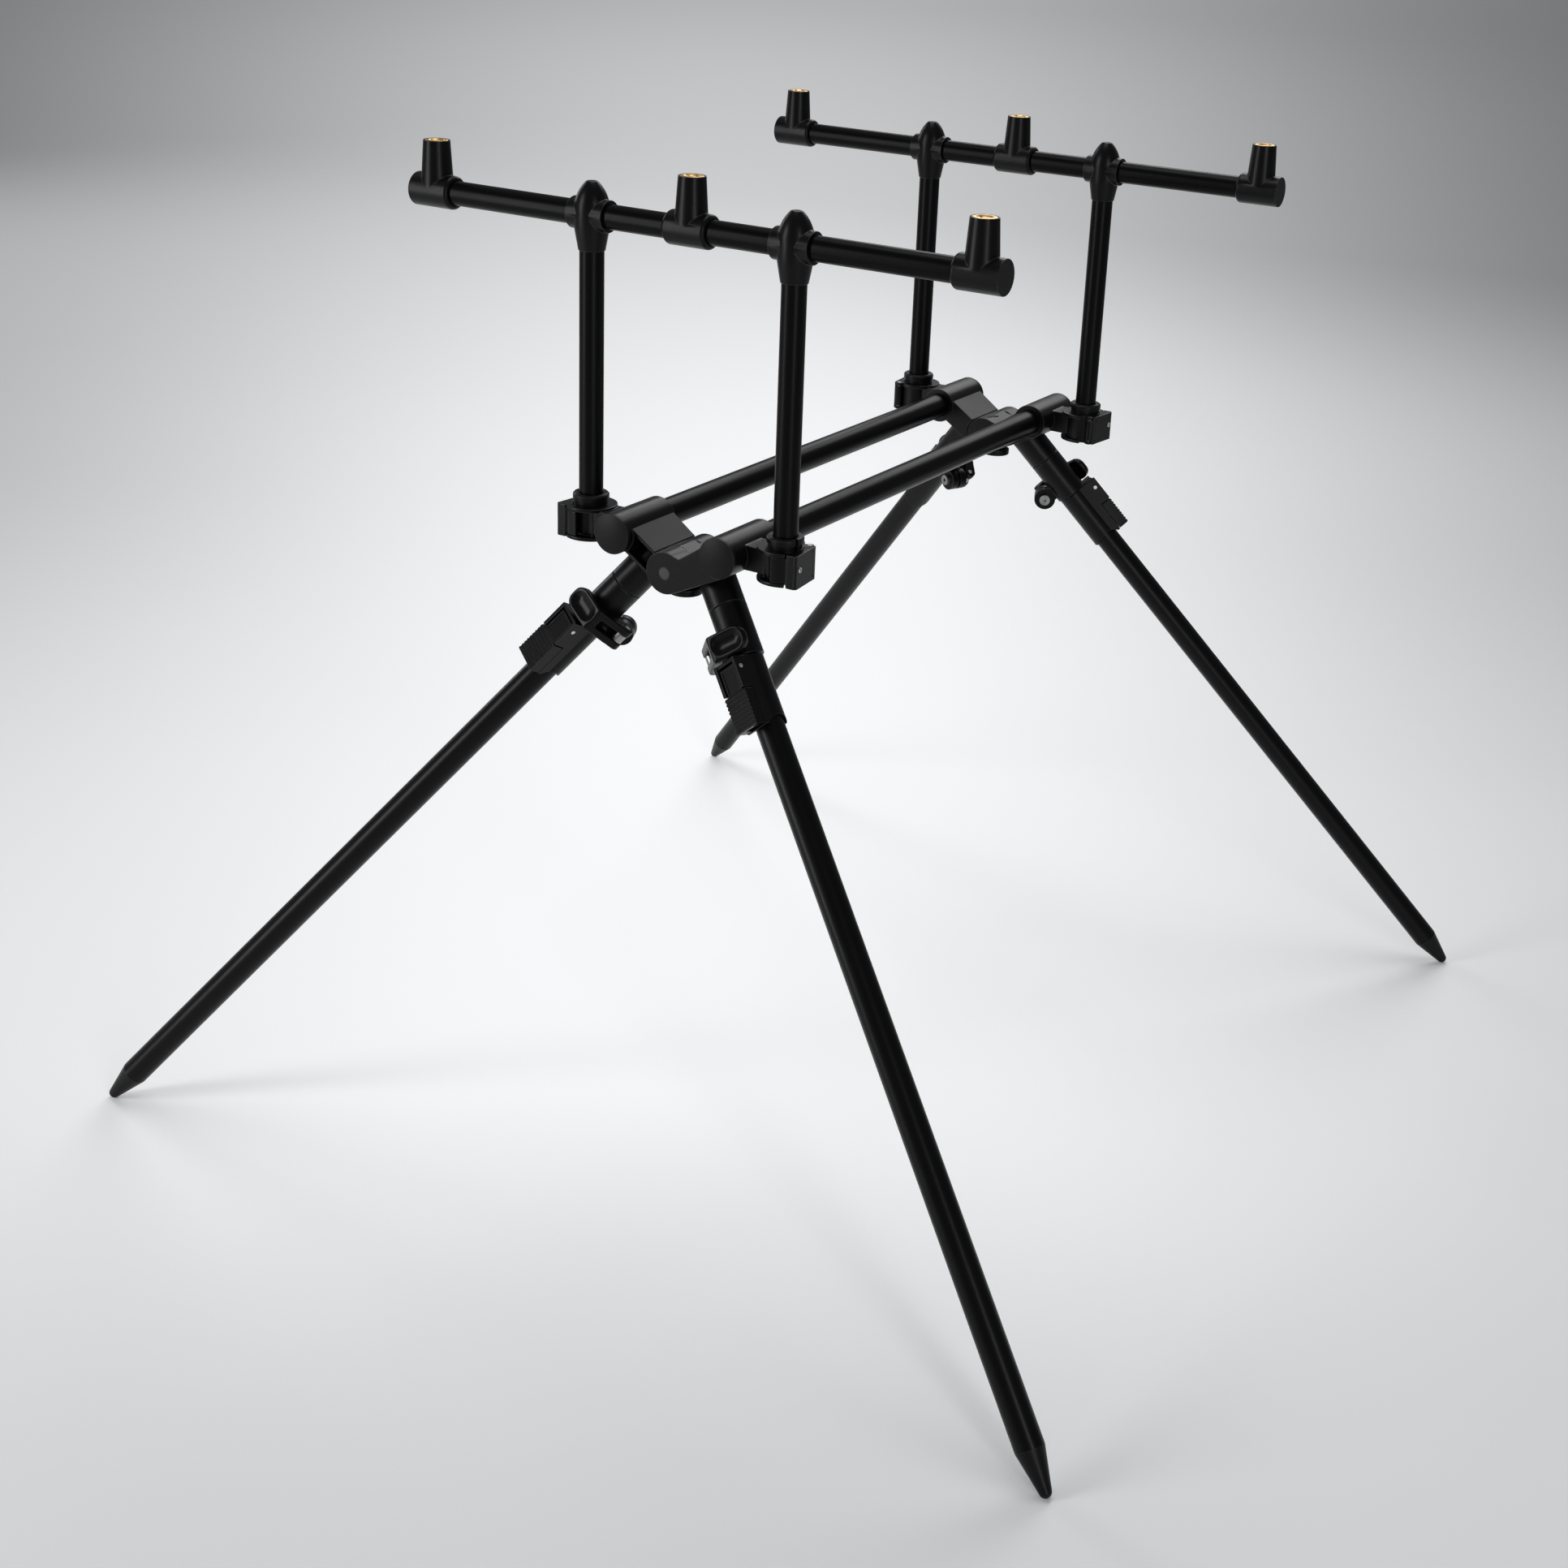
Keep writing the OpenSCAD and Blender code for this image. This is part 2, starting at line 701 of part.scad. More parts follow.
// Clamp bolt: head behind the back ear, eye for the lever's pin in front
module leg_clamp_bolt() {
    head_t = 3;
    eye_h = fork_gap - 2 * lever_gap;
    eye_r = cam_r - lever_gap;
    on_leg() {
        translate([-ear_x, -ear_y - head_t, -bolt_at]) rotate([-90, 0, 0]) difference() {
            union() {
                cylinder(d = bolt_d * 1.7, h = head_t);
                cylinder(d = bolt_d, h = head_t + ear_y + cam_at[1] - cam_r / 2);
            }
            translate([0, 0, -1]) cylinder(d = bolt_d * 0.6, h = head_t * 0.7 + 1, $fn = 6);
        }
        translate([cam_at[0], cam_at[1], -bolt_at - eye_h / 2])
            pipe(2 * eye_r, eye_h, eye_r - cam_pin_r - fit_gap);
    }
}

module leg_clamp_bolts() {
    color(steel) every_corner() leg_clamp_bolt();
}

// Cam lever: fork on the pin, strap round the collar and a dished thumb pad with a round end
module cam_lever(end, side) {
    slot_end = pad_from[0] - 4;
    dish_run = pad_len - pad_w;
    color(black) corner(end, side) on_leg() translate([0, 0, -bolt_at]) difference() {
        intersection() {
            translate([0, 0, -fork_h / 2]) linear_extrude(fork_h) {
                link(cam_at, cam_r, pad_from, pad_t / 2);
                link(pad_from, pad_t / 2, pad_to, pad_t / 2);
            }
            rotate([0, 0, pad_turn - 90]) rotate([-90, 0, 0]) translate([0, 0, -pad_len])
                linear_extrude(3 * pad_len) translate([-pad_len, 0]) stadium(3 * pad_len, pad_w);
        }
        translate([-2 * ear_x, 0, -fork_gap / 2]) cube([2 * ear_x + slot_end, 4 * ear_y, fork_gap]);
        translate([cam_at[0], cam_at[1], -fork_h]) cylinder(r = cam_pin_r + turn_gap, h = 2 * fork_h);
        rotate([0, 0, pad_turn - 90]) translate([0, pad_r + pad_t + dish_r - dish_depth, 0]) {
            translate([-dish_run / 2, 0, 0]) rotate([0, 90, 0]) cylinder(r = dish_r, h = dish_run);
            for (s = [-1, 1]) translate([s * dish_run / 2, 0, 0]) sphere(dish_r);
        }
    }
}

module leg_inner_tube(end, side) {
    color(black) corner(end, side) on_leg()
        translate([0, 0, -inner_end]) pipe(inner_d, inner_end + inner_root);
}

// Places a piece of a flip lock, turned about its leg
module on_lock(end, side) {
    i = (end == "back" ? 2 : 0) + (side == "right" ? 1 : 0);
    on_leg() rotate([0, 0, -lock_turn[i]]) children();
}

// Lock sleeve on top of the outer tube: round back, flat sides and two lugs for the lever's pin
module lock_sleeve(end, side) {
    color(grey) corner(end, side) on_lock(end, side) {
        difference() {
            union() {
                translate([0, 0, -sleeve_end]) linear_extrude(sleeve_len) {
                    circle(sleeve_r);
                    translate([-lock_w / 2, 0]) square([lock_w, sleeve_front]);
                }
                for (s = [-1, 1]) translate([s * (lock_w - lock_wall) / 2, 0, -lug_end])
                    translate([-lock_wall / 2, sleeve_front - 1, 0])
                        cube([lock_wall, lock_reach - sleeve_front + 1, lug_end - sleeve_top]);
            }
            translate([0, 0, -sleeve_end - 1]) cylinder(r = inner_r + slide_gap, h = sleeve_len + 2);
            translate([0, 0, -sleeve_end - 1])
                cylinder(d = leg_d + 2 * fit_gap, h = sleeve_len - grip_len + 1);
            translate([-lock_w, lock_pin_at[0], lock_pin_at[1]]) rotate([0, 90, 0])
                cylinder(d = lock_pin_d + 2 * fit_gap, h = 2 * lock_w);
        }
        color(steel) translate([-lock_w / 2, lock_pin_at[0], lock_pin_at[1]]) rotate([0, 90, 0])
            cylinder(d = lock_pin_d, h = lock_w);
    }
}

// Side view of the flip lever, drawn as (distance from the axis, height)
module lock_lever_outline() {
    back = sleeve_front + lever_gap;
    face = lock_reach - 1.2;
    translate(lock_pin_at) circle(lock_cam_r);
    polygon([
        lock_pin_at - [lock_cam_r, 0], [back, -lever_end], [face, -lever_end], [face, lock_pin_at[1]]
    ]);
}

module lock_lever(end, side) {
    handle_top = lug_end + 2 * lever_gap;
    handle_len = lever_end - handle_top;
    rib_pitch = handle_len / rib_count;
    color(black) corner(end, side) on_lock(end, side) difference() {
        union() {
            translate([-lever_in_w / 2, 0, 0]) rotate([90, 0, 90])
                linear_extrude(lever_in_w) lock_lever_outline();
            translate([-lock_w / 2, sleeve_front + lever_gap, -lever_end])
                cube([lock_w, lock_reach - rib_h - sleeve_front - lever_gap, handle_len]);
            for (i = [0 : rib_count - 1])
                translate([-lock_w / 2, lock_reach - rib_h - 1, -lever_end + (i + 0.2) * rib_pitch])
                    cube([lock_w, rib_h + 1, rib_pitch * 0.55]);
        }
        translate([-lock_w, lock_pin_at[0], lock_pin_at[1]]) rotate([0, 90, 0])
            cylinder(d = lock_pin_d + 2 * turn_gap, h = 2 * lock_w);
        translate([-lever_in_w / 2 + lock_wall, 0, -lever_end - 1])
            cube([lever_in_w - 2 * lock_wall, lock_reach - rib_h - lock_wall, handle_len]);
    }
}

module leg_tube(end, side) {
    color(black) corner(end, side) on_leg()
        translate([0, 0, -leg_tube_end]) pipe(leg_d, leg_tube_end - leg_tube_top);
}

// Conical foot with a rounded tip and a plug in the tube
module foot(end, side) {
    r = leg_d / 2;
    reach = norm([r, foot_len]);
    touch = atan2(foot_len, r) - acos(foot_tip_r / reach);
    touch_at = foot_tip_r * [cos(touch), sin(touch)];
    color(grey) corner(end, side) on_leg() translate([0, 0, -leg_len]) {
        rotate_extrude() {
            intersection() {
                circle(foot_tip_r);
                translate([0, -foot_tip_r]) square(2 * foot_tip_r);
            }
            polygon([[0, touch_at[1]], touch_at, [r, foot_len], [0, foot_len]]);
        }
        translate([0, 0, foot_len]) cylinder(d = leg_d - 2 * tube_wall - 2 * fit_gap, h = foot_plug);
    }
}

main_tube("left");  // main_tube_left
main_tube("right");  // main_tube_right
bracket("front", "left");  // bracket_front_left
bracket("front", "right");  // bracket_front_right
bracket("back", "left");  // bracket_back_left
bracket("back", "right");  // bracket_back_right
hinge_screws();
end_caps();
upright_bushes();
lever_pins();
leg_clamp_bolts();
clamp_lever("front", "left");  // clamp_lever_front_left
clamp_lever("front", "right");  // clamp_lever_front_right
clamp_lever("back", "left");  // clamp_lever_back_left
clamp_lever("back", "right");  // clamp_lever_back_right
rod_bar("front");  // rod_bar_front
rod_bar("back");  // rod_bar_back
rest_tee("front", "left");  // rest_tee_front_left
rest_tee("front", "centre");  // rest_tee_front_centre
rest_tee("front", "right");  // rest_tee_front_right
rest_tee("back", "left");  // rest_tee_back_left
rest_tee("back", "centre");  // rest_tee_back_centre
rest_tee("back", "right");  // rest_tee_back_right
brass_inserts("front");  // brass_inserts_front
brass_inserts("back");  // brass_inserts_back
cross_fittings("front");  // cross_fittings_front
cross_fittings("back");  // cross_fittings_back
upright("front", "left");  // upright_front_left
upright("front", "right");  // upright_front_right
upright("back", "left");  // upright_back_left
upright("back", "right");  // upright_back_right
leg_collar("front", "left");  // leg_collar_front_left
leg_collar("front", "right");  // leg_collar_front_right
leg_collar("back", "left");  // leg_collar_back_left
leg_collar("back", "right");  // leg_collar_back_right
cam_lever("front", "left");  // cam_lever_front_left
cam_lever("front", "right");  // cam_lever_front_right
cam_lever("back", "left");  // cam_lever_back_left
cam_lever("back", "right");  // cam_lever_back_right
leg_inner_tube("front", "left");  // leg_inner_tube_front_left
leg_inner_tube("front", "right");  // leg_inner_tube_front_right
leg_inner_tube("back", "left");  // leg_inner_tube_back_left
leg_inner_tube("back", "right");  // leg_inner_tube_back_right
lock_sleeve("front", "left");  // lock_sleeve_front_left
lock_sleeve("front", "right");  // lock_sleeve_front_right
lock_sleeve("back", "left");  // lock_sleeve_back_left
lock_sleeve("back", "right");  // lock_sleeve_back_right
lock_lever("front", "left");  // lock_lever_front_left
lock_lever("front", "right");  // lock_lever_front_right
lock_lever("back", "left");  // lock_lever_back_left
lock_lever("back", "right");  // lock_lever_back_right
leg_tube("front", "left");  // leg_tube_front_left
leg_tube("front", "right");  // leg_tube_front_right
leg_tube("back", "left");  // leg_tube_back_left
leg_tube("back", "right");  // leg_tube_back_right
foot("front", "left");  // foot_front_left
foot("front", "right");  // foot_front_right
foot("back", "left");  // foot_back_left
foot("back", "right");  // foot_back_right
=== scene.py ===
"""Rod pod: finishes, fine pieces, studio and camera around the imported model. Metres, +Z up."""
import json
import math

import bpy
from mathutils import Euler, Matrix, Vector


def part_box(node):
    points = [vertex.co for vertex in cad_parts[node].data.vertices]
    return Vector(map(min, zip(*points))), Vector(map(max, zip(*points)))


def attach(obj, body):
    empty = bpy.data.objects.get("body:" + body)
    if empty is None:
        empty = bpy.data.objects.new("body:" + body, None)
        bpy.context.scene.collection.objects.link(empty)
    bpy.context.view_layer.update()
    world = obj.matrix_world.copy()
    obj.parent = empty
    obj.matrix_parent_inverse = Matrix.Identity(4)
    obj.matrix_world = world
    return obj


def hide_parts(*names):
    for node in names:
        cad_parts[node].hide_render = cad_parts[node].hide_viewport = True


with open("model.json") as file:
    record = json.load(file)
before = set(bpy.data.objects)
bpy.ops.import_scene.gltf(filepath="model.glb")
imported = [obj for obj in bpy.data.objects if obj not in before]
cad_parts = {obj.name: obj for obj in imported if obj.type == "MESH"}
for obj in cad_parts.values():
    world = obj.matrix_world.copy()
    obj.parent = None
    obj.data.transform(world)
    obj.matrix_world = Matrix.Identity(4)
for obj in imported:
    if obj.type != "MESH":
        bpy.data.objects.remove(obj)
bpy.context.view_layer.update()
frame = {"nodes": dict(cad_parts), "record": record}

MM = 0.001
ENDS = ("front", "back")
SIDES = ("left", "right")
CORNERS = [(end, side) for end in ENDS for side in SIDES]

# Places and sizes of the rod pod, in millimetres
UPRIGHT_AT = Vector((76, 223.5, 463.785))
REST_X = {"left": -202, "centre": 0, "right": 202}
LEG_ROOT = Vector((29.4, 227.3, 440.785))
LEG_LEAN = math.radians(41.7)
LEG_SPLAY = math.radians(25.4)
SHOULDER_AT = Vector((0, 0, 461.583))
SHOULDER_SLOPE = math.atan2(2.8, 11)
SHOULDER_Y = (213.18, 230.82)
SHOULDER_LEN = 11.3
SHOULDER_DEEP = 3
SHOULDER_GAP = 0.3
SHOULDER_SIDE_GAP = 0.2
LOCK_TURN = {"front_left": 44, "front_right": 14, "back_left": 45, "back_right": 72}
LOCK_HALF_WIDTH = 10.2
LOCK_PIN_AT = Vector((0, 16.3, -61))
LOCK_PIN_R = 1.45
LOCK_HUB_TRIM = ((-9, 19.4, -68), (9, 25, -54))
LOCK_PANEL_RECESS = ((-5.8, 18.6, -74.2), (5.8, 25, -59.6))
LOCK_TOP_WALL = ((-8.4, 10.9, -56.3), (8.4, 19.7, -54))
LOCK_ARCH_R = 11.5
LOCK_ARCH_Z = -107.5
LEVER_SCREW_AT = Vector((17.14, 9.5, 1.3))
LEVER_SCREW_FACING = Vector((math.cos(math.radians(6)), -math.sin(math.radians(6)), 0))
INSERT_R = 7.5
INSERT_LEN = 17
THREAD_CREST_R = 4.15
THREAD_ROOT_R = 4.72
THREAD_PITCH = 1.27
THREAD_TURNS = 12
THREAD_TOP = 0.95
SCREW_HEAD_R = 1.9
SCREW_HEAD_H = 1.2
SCREW_TOP = 0.8
SCREW_SOCKET_R = 1.0
SCREW_SOCKET_DEEP = 0.7
CAM_VOXEL = 0.42
CAM_SWELL = 0.35
SLIVER = 0.03

# Edges sharper than this are rounded, and faces that meet flatter are shaded as one
ROUND_ABOVE = math.radians(34)
SHADE_BELOW_DEGREES = 32

# Black anodised tubes
TUBE_TONE = 0.0016
TUBE_ROUGH = 0.29

# The camera's view, fitted to tube edges in the photo
CAMERA_AZIMUTH, CAMERA_ELEVATION, CAMERA_ROLL = (math.radians(a) for a in (29.0, 20.48, 2.95))
CAMERA_TARGET_Z = 0.230
CAMERA_TARGET_RIGHT = 0.02023
CAMERA_TARGET_UP = 0.0826
CAMERA_DISTANCE = 1.70113
VIEW_X, VIEW_Y = -0.485, 0.875


# Finishes

class Shade:
    """One socket of a finish; arithmetic on it adds Math nodes."""

    def __init__(self, finish, socket):
        self.finish = finish
        self.socket = socket

    def math(self, operation, first, second):
        return self.finish.node("ShaderNodeMath", {"operation": operation}, {0: first, 1: second})

    def __add__(self, other):
        return self.math("ADD", self, other)

    def __radd__(self, other):
        return self.math("ADD", other, self)

    def __sub__(self, other):
        return self.math("SUBTRACT", self, other)

    def __rsub__(self, other):
        return self.math("SUBTRACT", other, self)

    def __mul__(self, other):
        return self.math("MULTIPLY", self, other)

    def __rmul__(self, other):
        return self.math("MULTIPLY", other, self)

    def __truediv__(self, other):
        return self.math("DIVIDE", self, other)

    def __rpow__(self, other):
        return self.math("POWER", other, self)


class Finish:
    """A material built node by node on the place in the object."""

    def __init__(self, name):
        self.material = bpy.data.materials.new(name)
        self.material.use_nodes = True
        self.tree = self.material.node_tree
        self.shader = self.tree.nodes["Principled BSDF"]
        self.place = self.node("ShaderNodeTexCoord", output="Object")

    def fill(self, node, values):
        for key, value in values.items():
            if isinstance(value, Shade):
                self.tree.links.new(value.socket, node.inputs[key])
            else:
                node.inputs[key].default_value = value

    def node(self, kind, settings=None, values=None, output=0):
        node = self.tree.nodes.new(kind)
        for key, value in (settings or {}).items():
            setattr(node, key, value)
        self.fill(node, values or {})
        return Shade(self, node.outputs[output])

    def noise(self, scale, detail=2.0, rough=0.5, at=None):
        return self.node(
            "ShaderNodeTexNoise", None,
            {"Vector": at or self.place, "Scale": scale, "Detail": detail, "Roughness": rough},
        )

    def band(self, value, low, high):
        """0 below low, 1 above high, smooth between."""
        return self.node(
            "ShaderNodeMapRange", {"interpolation_type": "SMOOTHSTEP"},
            {"Value": value, "From Min": low, "From Max": high},
        )

    def blend(self, share, first, second):
        return self.node(
            "ShaderNodeMix", {"data_type": "RGBA"}, {0: share, 6: first, 7: second}, output=2
        )

    def stretched(self, along, fine, slow):
        """The place, turned so that +Z runs along a direction, and scaled across and along it."""
        turn = along.to_track_quat("Z", "Y").to_euler()
        turned = self.node(
            "ShaderNodeVectorRotate", {"rotation_type": "EULER_XYZ", "invert": True},
            {"Vector": self.place, "Rotation": turn},
        )
        return self.node(
            "ShaderNodeVectorMath", {"operation": "MULTIPLY"}, {0: turned, 1: (fine, fine, slow)}
        )

    def bump(self, height, depth, strength=1.0):
        return self.node(
            "ShaderNodeBump", None, {"Height": height, "Distance": depth, "Strength": strength}
        )

    def surface(self, **values):
        self.fill(self.shader, {key.replace("_", " "): value for key, value in values.items()})
        return self.material


def grey(level, warm=0.0):
    return (level * (1 + warm), level, level * (1 - warm), 1)


def drawn_tube(name, along, shine):
    """Black anodised drawn tube: fine lines along it, a soft grain and faint handling marks."""
    finish = Finish(name)
    lines = finish.noise(1, 3, 0.6, finish.stretched(along, 2600, 14))
    scuffs = finish.band(finish.noise(1, 2, 0.5, finish.stretched(along, 900, 40)), 0.62, 0.74)
    grain = finish.noise(3800, 2)
    haze = finish.noise(22, 4, 0.6)
    tone = finish.blend(haze, grey(TUBE_TONE * 0.8, 0.04), grey(TUBE_TONE * 1.25, 0.02))
    marked = finish.blend(scuffs * 0.35, tone, grey(TUBE_TONE * 2.6))
    return finish.surface(
        Base_Color=marked,
        Roughness=TUBE_ROUGH - 0.05 + 0.10 * lines + 0.07 * haze - 0.05 * scuffs,
        Specular_IOR_Level=shine,
        Normal=finish.bump(0.6 * lines + 0.4 * grain, 0.00002, 0.6),
    )


def moulded(name, level, rough, grain_scale, grain_depth):
    """Moulded black nylon: spark grain, soft flow marks and a little dust."""
    finish = Finish(name)
    grain = finish.noise(grain_scale, 3, 0.65)
    flow = finish.noise(45, 3, 0.55)
    dust = finish.band(finish.noise(320, 4, 0.7), 0.60, 0.78)
    tone = finish.blend(flow, grey(level * 0.82, 0.03), grey(level * 1.2, 0.02))
    dusted = finish.blend(dust * 0.25, tone, grey(level * 2.2))
    return finish.surface(
        Base_Color=dusted,
        Roughness=rough - 0.05 + 0.08 * flow + 0.05 * grain,
        Specular_IOR_Level=0.15,
        Normal=finish.bump(grain, grain_depth, 0.7),
    )


def worn_highlit_edge(name, level, rough):
    """Edge of a moulding: paler than the face all along, a painted highlight, and rubbed smoother
    and paler still by handling, in patches.
    """
    finish = Finish(name)
    patches = finish.band(finish.noise(140, 4, 0.65), 0.36, 0.66)
    specks = finish.band(finish.noise(1300, 3, 0.6), 0.60, 0.74)
    # Painted highlight: every edge is paler than its face, and the patches add rubbed wear on top.
    tone = finish.blend(patches, grey(level * 1.2, 0.03), grey(level * 2.4, 0.02))
    return finish.surface(
        Base_Color=finish.blend(specks * patches * 0.5, tone, grey(level * 5)),
        Roughness=rough + 0.10 - 0.10 * patches,
        Specular_IOR_Level=0.34,
        Normal=finish.bump(specks, 0.00002, 0.4),
    )


def turned_metal(name, colour, dull, rough):
    """Turned bright metal: tool rings read as fine grain, with a thin patchy tarnish."""
    finish = Finish(name)
    rings = finish.noise(1, 2, 0.5, finish.stretched(Vector((0, 0, 1)), 300, 9000))
    tarnish = finish.band(finish.noise(260, 4, 0.65), 0.42, 0.72)
    return finish.surface(
        Base_Color=finish.blend(tarnish * 0.7, colour, dull),
        Metallic=1.0,
        Roughness=rough + 0.10 * rings + 0.15 * tarnish,
        Normal=finish.bump(rings, 0.00002, 0.5),
    )


LEG_TURN = Euler((0, -LEG_LEAN, LEG_SPLAY), "XYZ").to_matrix()


def corner_sign(corner):
    end, side = corner
    return Vector((-1 if side == "left" else 1, -1 if end == "front" else 1, 1))


def mirrored(point, corner):
    """A point of the back right corner, in its mirror place."""
    sign = corner_sign(corner)
    return Vector(tuple(p * s for p, s in zip(point, sign)))


def on_leg(point, corner):
    return mirrored(LEG_ROOT + LEG_TURN @ point, corner)


def on_lock(point, corner):
    turn = Matrix.Rotation(-math.radians(LOCK_TURN["_".join(corner)]), 3, "Z")
    return on_leg(turn @ point, corner)


LEG_ALONG = {corner: mirrored(LEG_TURN @ Vector((0, 0, -1)), corner) for corner in CORNERS}

FINISH = {
    "main_tube": drawn_tube("main_tube_anodised", Vector((0, 1, 0)), 0.075),
    "rod_bar": drawn_tube("rod_bar_anodised", Vector((1, 0, 0)), 0.075),
    "upright": drawn_tube("upright_anodised", Vector((0, 0, 1)), 0.10),
    "bracket": moulded("bracket_nylon", 0.0026, 0.31, 2400, 0.00004),
    "lever": moulded("lever_nylon", 0.0022, 0.25, 3000, 0.00002),
    "trim": moulded("trim_nylon", 0.0030, 0.36, 2000, 0.00005),
    "steel": turned_metal(
        "bright_steel_turned", (0.62, 0.62, 0.60, 1), (0.36, 0.35, 0.34, 1), 0.24
    ),
    "dark_steel": turned_metal(
        "dark_steel_turned", (0.060, 0.060, 0.058, 1), (0.030, 0.030, 0.030, 1), 0.24
    ),
    "bolt_steel": turned_metal(
        "bolt_steel_turned", (0.34, 0.34, 0.33, 1), (0.12, 0.12, 0.12, 1), 0.26
    ),
    "brass": turned_metal("brass_turned", (0.80, 0.52, 0.22, 1), (0.55, 0.34, 0.14, 1), 0.26),
}
for leg in CORNERS:
    FINISH["leg", leg] = drawn_tube("leg_anodised_" + "_".join(leg), LEG_ALONG[leg], 0.14)

# Edge finishes: paler than the faces as a painted highlight, with rubbed wear in patches.
EDGE_WEAR_AND_HIGHLIGHT = {
    "bracket_nylon": worn_highlit_edge("bracket_edge", 0.004, 0.34),
    "lever_nylon": worn_highlit_edge("lever_edge", 0.0035, 0.30),
    "trim_nylon": worn_highlit_edge("trim_edge", 0.004, 0.38),
}

NODE_FINISH = {
    "main_tube": "main_tube", "rod_bar": "rod_bar", "upright_bushes": "trim", "upright": "upright",
    "bracket": "bracket", "rest_tee": "bracket", "cross_fittings": "bracket",
    "leg_collar": "bracket", "lock_sleeve": "bracket",
    "lock_lever": "lever", "clamp_lever": "lever", "cam_lever": "lever",
    "end_caps": "trim", "foot": "trim", "hinge_screws": "dark_steel", "lever_pins": "steel",
    "leg_clamp_bolts": "bolt_steel", "brass_inserts": "brass",
}


def finish_of(node):
    for leg in CORNERS:
        if node in ("leg_tube_" + "_".join(leg), "leg_inner_tube_" + "_".join(leg)):
            return FINISH["leg", leg]
    kind = next(kind for kind in NODE_FINISH if node.startswith(kind))
    return FINISH[NODE_FINISH[kind]]


BODY = {
    node: body for body, nodes in frame["record"]["behaviour"]["bodies"].items() for node in nodes
}


# Modelling helpers

def deselect():
    if bpy.context.object and bpy.context.object.mode != "OBJECT":
        bpy.ops.object.mode_set(mode="OBJECT")
    bpy.ops.object.select_all(action="DESELECT")


def pick(piece):
    deselect()
    piece.select_set(True)
    bpy.context.view_layer.objects.active = piece


def coat(piece, *finishes):
    piece.data.materials.clear()
    for finish in finishes:
        piece.data.materials.append(finish)


def settle(piece, name, body):
    """Names a finished piece, puts its place in its mesh and lets it ride."""
    pick(piece)
    bpy.ops.object.transform_apply(location=True, rotation=True, scale=True)
    piece.name = piece.data.name = name
    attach(piece, body)


def choose(piece, kind, test):
    """Opens a piece in edit mode with the edges or faces selected whose middle passes a test."""
    pick(piece)
    bpy.ops.object.mode_set(mode="EDIT")
    bpy.ops.mesh.select_mode(type=kind)
    bpy.ops.mesh.select_all(action="DESELECT")
    bpy.ops.object.mode_set(mode="OBJECT")
    if kind == "FACE":
        for face in piece.data.polygons:
            face.select = test(face.center)
    else:
        points = piece.data.vertices
        for edge in piece.data.edges:
            edge.select = test((points[edge.vertices[0]].co + points[edge.vertices[1]].co) / 2)
    bpy.ops.object.mode_set(mode="EDIT")


def smooth(piece, degrees):
    pick(piece)
    bpy.ops.object.shade_smooth_by_angle(angle=math.radians(degrees))


def copy_at(master, at, facing):
    """A copy with its own mesh, its +Z turned to a direction."""
    piece = master.copy()
    piece.data = master.data.copy()
    bpy.context.scene.collection.objects.link(piece)
    piece.location = at * MM
    piece.rotation_euler = facing.to_track_quat("Z", "Y").to_euler()
    return piece


def discard(piece):
    pick(piece)
    bpy.ops.object.delete()


def open_whole(piece):
    """Opens a piece in edit mode with all of it selected."""
    pick(piece)
    bpy.ops.object.mode_set(mode="EDIT")
    bpy.ops.mesh.select_all(action="SELECT")


def join_faces(piece):
    """Merges loose corners and joins triangles that lie in one plane."""
    open_whole(piece)
    bpy.ops.mesh.remove_doubles(threshold=0.000005)
    bpy.ops.mesh.dissolve_limited(angle_limit=math.radians(0.3))
    bpy.ops.object.mode_set(mode="OBJECT")


def apply_modifier(piece, kind, **settings):
    pick(piece)
    modifier = piece.modifiers.new(kind.title(), kind)
    for key, value in settings.items():
        setattr(modifier, key, value)
    bpy.ops.object.modifier_apply(modifier=modifier.name)


def carve(piece, cutter, operation="DIFFERENCE"):
    """Cuts a tool's shape out of a piece, or joins it on, and puts the tool away."""
    apply_modifier(piece, "BOOLEAN", operation=operation, object=cutter, solver="EXACT")
    discard(cutter)
    join_faces(piece)


for node_name, node_object in frame["nodes"].items():
    coat(node_object, finish_of(node_name))


# Tools that shape the brackets and the flip locks

def block(place, low, high):
    """Block between two corner points, given in the axes of a place."""
    low, high = Vector(low), Vector(high)
    deselect()
    bpy.ops.mesh.primitive_cube_add(size=MM)
    tool = bpy.context.object
    middle = Matrix.Translation((low + high) / 2 * MM)
    tool.matrix_world = place @ middle @ Matrix.Diagonal((*(high - low), 1))
    return tool


def shape_bracket(piece, corner):
    """Runs the right half's shoulder across the middle knuckle, which is cut back to clear it."""
    end, side = corner
    shoulder = Matrix.Translation(SHOULDER_AT * MM) @ Matrix.Rotation(SHOULDER_SLOPE, 4, "Y")
    near, far = sorted(y * (-1 if end == "front" else 1) for y in SHOULDER_Y)
    if side == "right":
        carve(piece, block(shoulder, (0, near, -SHOULDER_DEEP), (SHOULDER_LEN, far, 0)), "UNION")
    else:
        low = (-SHOULDER_GAP, near - SHOULDER_SIDE_GAP, -SHOULDER_DEEP - SHOULDER_GAP)
        past_knuckle = (13, far + SHOULDER_SIDE_GAP, 8)
        carve(piece, block(shoulder, low, past_knuckle))


